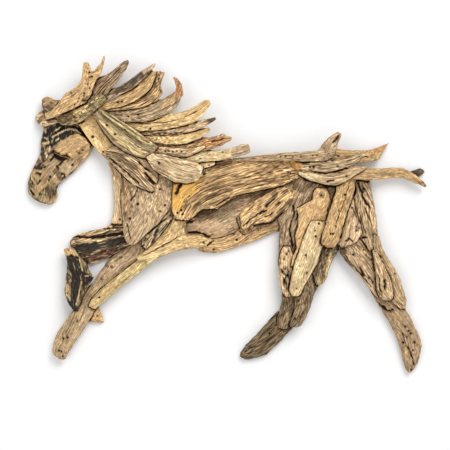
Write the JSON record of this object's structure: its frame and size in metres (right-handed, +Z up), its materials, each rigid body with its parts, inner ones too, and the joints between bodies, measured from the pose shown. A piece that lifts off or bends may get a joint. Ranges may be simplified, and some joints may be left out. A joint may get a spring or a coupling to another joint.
{
  "type": "driftwood horse wall sculpture",
  "caption": "Wall relief of a running horse, put together from overlapping weathered driftwood slabs and sticks.",
  "frame": {"origin": "on the flat back of the flank slab, where the sculpture bears on the wall", "axes": "+Z up; -X towards the horse's head; +Y into the wall, so the relief stands out from the wall towards -Y"},
  "size_m": [0.9057, 0.0694, 0.717],
  "materials": {
    "wood_pale": "bleached straw-yellow driftwood, matt",
    "wood_tan": "weathered tan driftwood, matt",
    "wood_orange": "honey to orange driftwood, matt",
    "wood_brown": "weathered brown driftwood with dark grooves, matt",
    "wood_grey": "grey-brown barked driftwood, matt",
    "wood_olive": "grey-green to straw striped driftwood, matt",
    "wood_charcoal": "blackened driftwood with tan patches, matt"
  },
  "bodies": {
    "root": {"flank_slab": "wood_grey", "belly_slab": "wood_orange", "thigh_dark": "wood_brown", "heel_spur": "wood_orange", "knee_slab": "wood_charcoal", "foreleg_plank": "wood_brown", "shin_slab": "wood_charcoal", "cannon_yellow": "wood_pale", "forearm_slab": "wood_tan", "bark_curl": "wood_grey", "chest_strip": "wood_pale", "chest_slab": "wood_brown", "hoof_left": "wood_grey", "shank_left": "wood_grey", "shank_right": "wood_grey", "splint_tan": "wood_tan", "gaskin_stub": "wood_grey", "hoof_right": "wood_tan", "gaskin_tan": "wood_tan", "rump_slab": "wood_grey", "gaskin_rear": "wood_tan", "gaskin_front": "wood_pale", "map_slab": "wood_orange", "pale_slab": "wood_pale", "thigh_wedge": "wood_tan", "thigh_plank": "wood_orange", "loin_slab": "wood_tan", "barrel_slab": "wood_brown", "tail_stub": "wood_charcoal", "tail_lower": "wood_tan", "tail_upper": "wood_orange", "hip_slab": "wood_pale", "croup_slab": "wood_brown", "back_branch": "wood_olive", "head_slab": "wood_tan", "cheek_slab": "wood_tan", "brow_stub": "wood_tan", "forelock_knob": "wood_brown", "throat_slab": "wood_pale", "neck_bark": "wood_brown", "mane_short": "wood_pale", "mane_long": "wood_pale", "mane_forked": "wood_orange", "mane_freckled": "wood_orange", "mane_honey": "wood_orange", "mane_dark_tip": "wood_brown", "mane_gold": "wood_pale", "mane_sickle": "wood_brown", "mane_broad": "wood_brown", "mane_flame": "wood_orange", "mane_black_stick": "wood_charcoal", "mane_dark_red": "wood_brown", "neck_slab": "wood_olive", "poll_slab": "wood_olive", "ear_slab": "wood_tan", "shoulder_oval": "wood_olive"}
  },
  "joints": []
}
